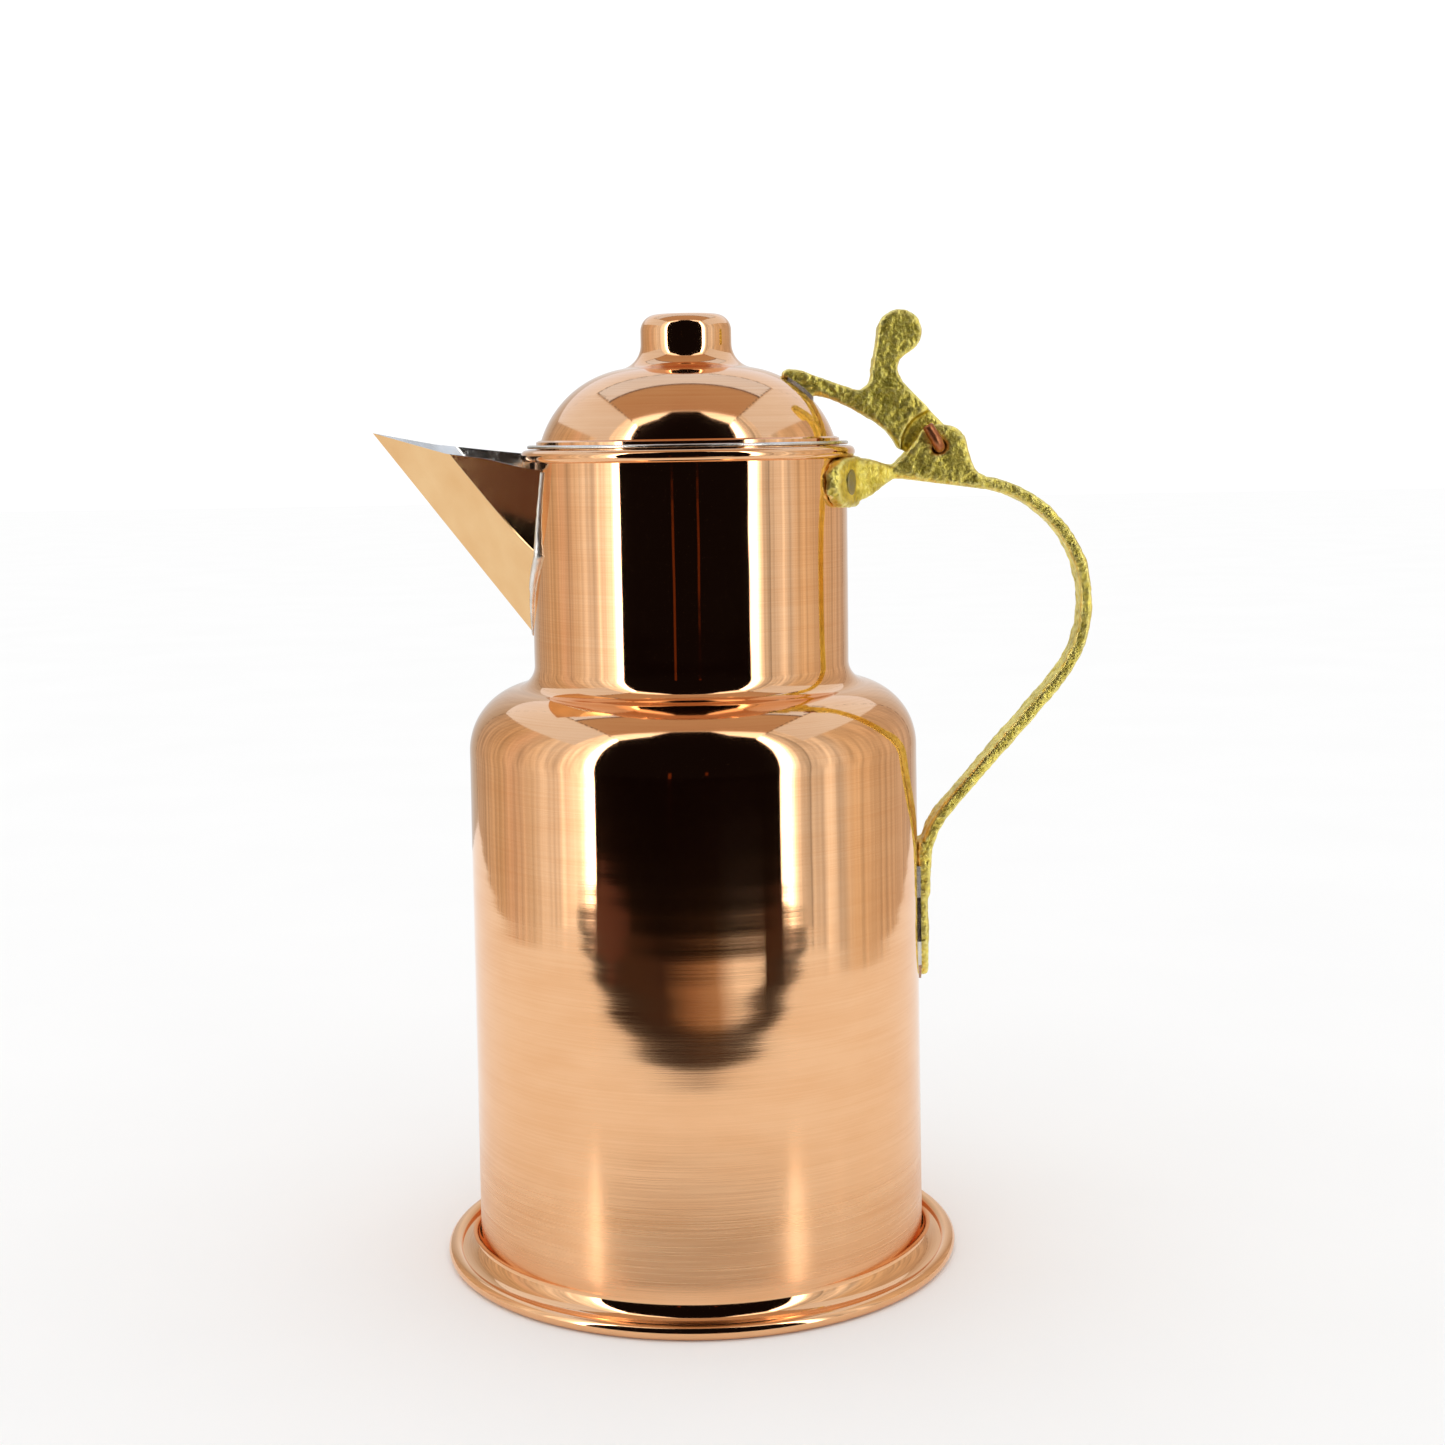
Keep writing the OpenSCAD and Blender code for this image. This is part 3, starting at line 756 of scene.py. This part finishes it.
def make_rivet(name, side):
    """A rivet through pad and neck. side is -1 for the near one and 1 for the far one."""
    turn = Matrix.Rotation(side * math.asin(RIVET_SIDE / NECK_R), 4, "Z")
    outline = rivet_outline()
    count = len(outline)
    sides = 40
    verts = []
    faces = []
    for i in range(sides):
        t = 2 * math.pi * i / sides
        for r, h in outline:
            r *= 1 + 0.05 * noise.noise(Vector((math.cos(t) * 1.3, math.sin(t) * 1.3, side)))
            local = Vector((NECK_R + PAD_T + h, r * math.cos(t), PAD_Z + r * math.sin(t)))
            verts.append(tuple(turn @ local))
    for i in range(sides):
        a = i * count
        b = (i + 1) % sides * count
        faces += [(a + k, b + k, b + k + 1, a + k + 1) for k in range(count - 1)]
    rivet = mesh_object(name, verts, faces, [STEEL])
    close_poles(rivet)
    settle(rivet, "pot", "steel_wire", "upper_rivets")


def make_rivets():
    make_rivet("rivet_near", -1)
    make_rivet("rivet_far", 1)


def carried_over():
    """CAD nodes that stay: the edge wires and four runs of solder get their materials."""
    kept = {"foot_wire": TIN, "rim_wire": TIN, "base_solder": TIN, "tail_solder": TIN,
            "collar_solder": TIN, "lever_solder": SEAM}
    for node, material in kept.items():
        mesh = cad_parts[node].data
        mesh.materials.clear()
        mesh.materials.append(material)
        mesh.shade_smooth()
        mesh.set_sharp_from_angle(angle=math.radians(SHARP))


# ---------- light tent, floor, camera ----------

LEFT = -430.0
RIGHT = 380.0
FRONT = -400.0
BACK = 530.0
ROOF = 800.0
LEFT_FRONT = -395.0                # front edge of the left wall
RIGHT_FRONT = -425.0               # front edge of the right wall
FLOOR_FRONT = -262.0               # where the tent's white floor ends
HIGH_FROM = 430.0                  # from here up the walls get cool daylight
HIGH_TO = ROOF - 22
HIGH_FRONT = -190.0
ROOM = 1400.0                      # half width of the dark room, and its height
LAMP_Y = -900.0
LIFT = 0.3                         # keeps the room's floor clear of the pale floor


def only_reflected(obj):
    """Seen in reflections, and nowhere else."""
    obj.visible_camera = False
    obj.visible_diffuse = False
    obj.visible_transmission = False
    obj.visible_volume_scatter = False
    obj.visible_shadow = False
    return obj


def glow(name, stops, axis, low, high, streaks=0.0):
    """Light given off by a tent panel, changing along one axis from low to high millimetres."""
    g = Graph(name)
    along = g.add("SeparateXYZ", out=axis, _0=g.place((1, 1, 1)))
    ramp = g.tree.nodes.new("ShaderNodeValToRGB")
    g.tree.links.new(g.ramp(along, low, high, 0.0, 1.0), ramp.inputs[0])
    elements = ramp.color_ramp.elements
    while len(elements) > 1:
        elements.remove(elements[-1])
    for i, (where, colour) in enumerate(stops):
        at = (where - low) / (high - low)
        element = elements[0] if i == 0 else elements.new(at)
        element.position = at
        element.color = rgba(*colour)
    strength = 1.0
    if streaks:
        folds = g.noise((0.045, 0.045, 0.004), detail=4)
        strength = g.ramp(folds, 0.25, 0.75, 1 - streaks, 1 + streaks)
    shader = g.add("Emission", Color=ramp.outputs[0], Strength=strength)
    return g.surface(shader)


def card(name, corners, material):
    obj = mesh_object(name, corners, [tuple(range(len(corners)))], [material])
    return only_reflected(obj)


def side_card(name, x, ys, zs, material):
    """Upright card at x, between two y and two z."""
    (y0, y1), (z0, z1) = ys, zs
    return card(name, [(x, y0, z0), (x, y1, z0), (x, y1, z1), (x, y0, z1)], material)


def front_card(name, y, xs, zs, material):
    """Upright card at y, between two x and two z."""
    (x0, x1), (z0, z1) = xs, zs
    return card(name, [(x0, y, z0), (x1, y, z0), (x1, y, z1), (x0, y, z1)], material)


def flat_card(name, z, xs, ys, material):
    """Level card at z, between two x and two y."""
    (x0, x1), (y0, y1) = xs, ys
    return card(name, [(x0, y0, z), (x1, y0, z), (x1, y1, z), (x0, y1, z)], material)


def grey(v):
    return (v, v, v)


def tent_walls():
    """Side walls, brightest where the lamps hit their front edges, and the back wall."""
    left_light = [(LEFT_FRONT, grey(5.0)), (-375, grey(8.0)), (-340, grey(6.0)), (-318, grey(2.0)),
                  (-285, grey(1.5)), (-205, grey(1.3)), (-180, grey(0.78)), (-110, grey(0.95)),
                  (-50, (0.82, 0.76, 0.68)), (67, (0.74, 0.60, 0.50)), (140, (0.66, 0.54, 0.40)),
                  (BACK, (0.52, 0.43, 0.34))]
    right_light = [(RIGHT_FRONT, grey(2.0)), (-400, grey(6.5)), (-350, grey(5.5)), (-325, grey(1.9)),
                   (-290, grey(0.8)), (-250, grey(0.6)), (-244, grey(0.3)), (-238, grey(0.82)),
                   (-185, grey(0.84)), (-154, grey(1.08)), (-110, grey(0.68)),
                   (-49, (0.80, 0.70, 0.56)), (60, (0.70, 0.60, 0.48)), (BACK, (0.55, 0.45, 0.36))]
    back_light = [(LEFT, (0.52, 0.46, 0.38)), (-200, grey(0.66)), (0, (0.86, 0.88, 0.9)),
                  (180, (0.74, 0.72, 0.70)), (RIGHT, (0.60, 0.52, 0.44))]
    side_card("tent_left", LEFT, (LEFT_FRONT, BACK), (0, ROOF),
              glow("tent_left", left_light, 1, LEFT_FRONT, BACK, 0.3))
    side_card("tent_right", RIGHT, (RIGHT_FRONT, BACK), (0, ROOF),
              glow("tent_right", right_light, 1, RIGHT_FRONT, BACK, 0.3))
    front_card("tent_back", BACK, (LEFT, RIGHT), (0, ROOF),
               glow("tent_back", back_light, 0, LEFT, RIGHT, 0.08))


def tent_top():
    """Roof with its opening and dark seam, and the cool upper part of the walls."""
    seam = (0.08, 0.05, 0.04)
    roof_light = [(FRONT, grey(2.2)), (-275, grey(1.8)), (-235, (0.52, 0.36, 0.25)),
                  (150, (0.56, 0.42, 0.30)), (178, (0.46, 0.33, 0.24)), (186, seam), (198, seam),
                  (206, (0.85, 1.0, 1.3)), (BACK, (0.8, 0.95, 1.2))]
    high_light = [(FRONT, (0.80, 0.86, 0.98)), (BACK, (0.92, 1.0, 1.14))]
    rim = [(LEFT, FRONT), (LEFT, BACK), (RIGHT, BACK), (RIGHT, FRONT)]
    opening = [(180, -340), (80, -255), (-100, -255), (-210, -340)]
    card("tent_roof", [(x, y, ROOF) for x, y in rim + opening],
         glow("tent_roof", roof_light, 1, FRONT, BACK))
    high = glow("tent_high", high_light, 1, FRONT, BACK)
    inset = 2
    for name, x in (("tent_high_left", LEFT + inset), ("tent_high_right", RIGHT - inset)):
        side_card(name, x, (HIGH_FRONT, BACK), (HIGH_FROM, HIGH_TO), high)
    front_card("tent_high_back", BACK - inset, (LEFT, RIGHT), (HIGH_FROM, HIGH_TO), high)


def room_lamps():
    """Two dim red lamps far off in the room, which make the streaks on neck and drum."""
    half = 12
    slant = 2
    lamp = glow("room_lamp", [(-300, (0.13, 0.032, 0.008)), (300, (0.10, 0.022, 0.006))], 0, -300, 300)
    for name, x, low, top in (("room_lamp_left", -170, 40, 165), ("room_lamp_right", 105, 95, 170)):
        card(name, [(x - half, LAMP_Y, low), (x + half, LAMP_Y, low),
                    (x + half + slant, LAMP_Y, top), (x - half + slant, LAMP_Y, top)], lamp)


def room_rug():
    rug = glow("room_rug", [(-430, (0.13, 0.062, 0.05)), (-250, (0.10, 0.045, 0.034))], 0, -430, -250)
    flat_card("room_rug", 0.5, (-430, -250), (-440, -300), rug)


def room_table():
    """Dark table in front of the tent."""
    light = [(-700, (0.004, 0.002, 0.002)), (-450, (0.006, 0.004, 0.003)), (-410, (0.05, 0.026, 0.018)),
             (-345, (0.06, 0.032, 0.02)), (-310, (0.03, 0.018, 0.012)), (FLOOR_FRONT, (0.02, 0.012, 0.01))]
    flat_card("room_floor", LIFT, (-ROOM, ROOM), (-ROOM, FLOOR_FRONT),
              glow("room_table", light, 1, -700, FLOOR_FRONT))


def room_paper():
    """Rounded pale sheet on the table, brighter towards the right."""
    light = [(-110, (0.06, 0.034, 0.022)), (-10, (0.34, 0.2, 0.12)), (60, (0.5, 0.34, 0.22)),
             (130, grey(1.2)), (235, grey(1.1))]
    ring = [math.radians(15 * k) for k in range(24)]
    card("room_paper", [(62 + 170 * math.cos(a), -368 + 46 * math.sin(a) + 10 * math.cos(a), 2 * LIFT)
                        for a in ring], glow("room_paper", light, 0, -110, 235))


def make_tent():
    """White tent, open at the front, in a dark room."""
    dark = glow("room_dark", [(-900, (0.006, 0.004, 0.004)), (900, (0.006, 0.004, 0.004))], 0, -900, 900)
    wide = (-ROOM, ROOM)
    tall = (0, ROOM)
    tent_walls()
    tent_top()
    room_lamps()
    room_rug()
    front_card("room_front", -ROOM, wide, tall, dark)
    room_table()
    room_paper()
    side_card("room_left", -ROOM, (-ROOM, FRONT), tall, dark)
    side_card("room_right", ROOM, (-ROOM, FRONT), tall, dark)
    flat_card("room_roof", ROOM, wide, (-ROOM, 0), dark)
    front_card("room_above", 0, wide, (ROOF + 1, ROOM), dark)
    make_stitches(dark)


def make_stitches(material):
    """Dashed dark seams along the tent's edges."""
    verts = []
    faces = []
    half = 9.0
    dash = 42.0
    step = 62.0

    def dashes(start, end, across):
        start = Vector(start)
        length = (Vector(end) - start).length
        run = (Vector(end) - start).normalized()
        side = Vector(across) * half
        for i in range(int(length / step)):
            p = start + run * i * step
            q = p + run * dash
            n = len(verts)
            verts.extend(tuple(v) for v in (p - side, q - side, q + side, p + side))
            faces.append((n, n + 1, n + 2, n + 3))

    inset = 4.0
    for x in (LEFT + inset, RIGHT - inset):
        dashes((x, BACK - inset, 0), (x, BACK - inset, ROOF), (0.7, 0.7 if x > 0 else -0.7, 0))
        dashes((x, FRONT, ROOF - inset), (x, BACK, ROOF - inset), (0, 0, 1))
    dashes((LEFT, BACK - inset, ROOF - inset), (RIGHT, BACK - inset, ROOF - inset), (0, 0, 1))
    only_reflected(mesh_object("tent_stitches", verts, faces, [material]))


def make_floor():
    """Plain pale floor, a hair below the pot."""
    g = Graph("pale_floor")
    speck = g.noise((0.01, 0.01, 0.01), detail=2)
    colour = g.mix(speck, rgba(0.90, 0.90, 0.90), rgba(0.93, 0.93, 0.93))
    shader = g.add("BsdfDiffuse", Color=colour)
    size = 6000
    floor = mesh_object("floor", [(-size, -size, 0), (size, -size, 0), (size, size, 0), (-size, size, 0)],
                        [(0, 1, 2, 3)], [g.surface(shader)])
    floor.location.z = -0.02 * MM


def make_light():
    """Even white studio light from all round."""
    world = bpy.data.worlds.new("studio")
    bpy.context.scene.world = world
    world.use_nodes = True
    background = world.node_tree.nodes["Background"]
    background.inputs["Color"].default_value = rgba(1, 1, 1)
    background.inputs["Strength"].default_value = 1.08


def make_camera():
    """A long lens a little above the pot's mouth, tipped down and turned by a degree."""
    data = bpy.data.cameras.new("camera")
    camera = bpy.data.objects.new("camera", data)
    bpy.context.scene.collection.objects.link(camera)
    data.lens = 54.19
    data.sensor_width = 36.0
    tilt, roll = math.radians(7.66), math.radians(0.94)
    ahead = Vector((0, math.cos(tilt), -math.sin(tilt)))
    right = Vector((math.cos(roll), -math.sin(roll) * math.sin(tilt), -math.sin(roll) * math.cos(tilt)))
    up = right.cross(ahead)
    place = Matrix((right, up, -ahead)).transposed().to_4x4()
    place.translation = Vector((7.4, -539.0, 206.9)) * MM
    camera.matrix_world = place
    bpy.context.scene.camera = camera
    bpy.context.scene.view_settings.view_transform = "Standard"


make_body()
make_foot()
make_beak()
make_lid()
make_collar()
make_castings()
make_pin()
make_rivets()
carried_over()
make_tent()
make_floor()
make_light()
make_camera()
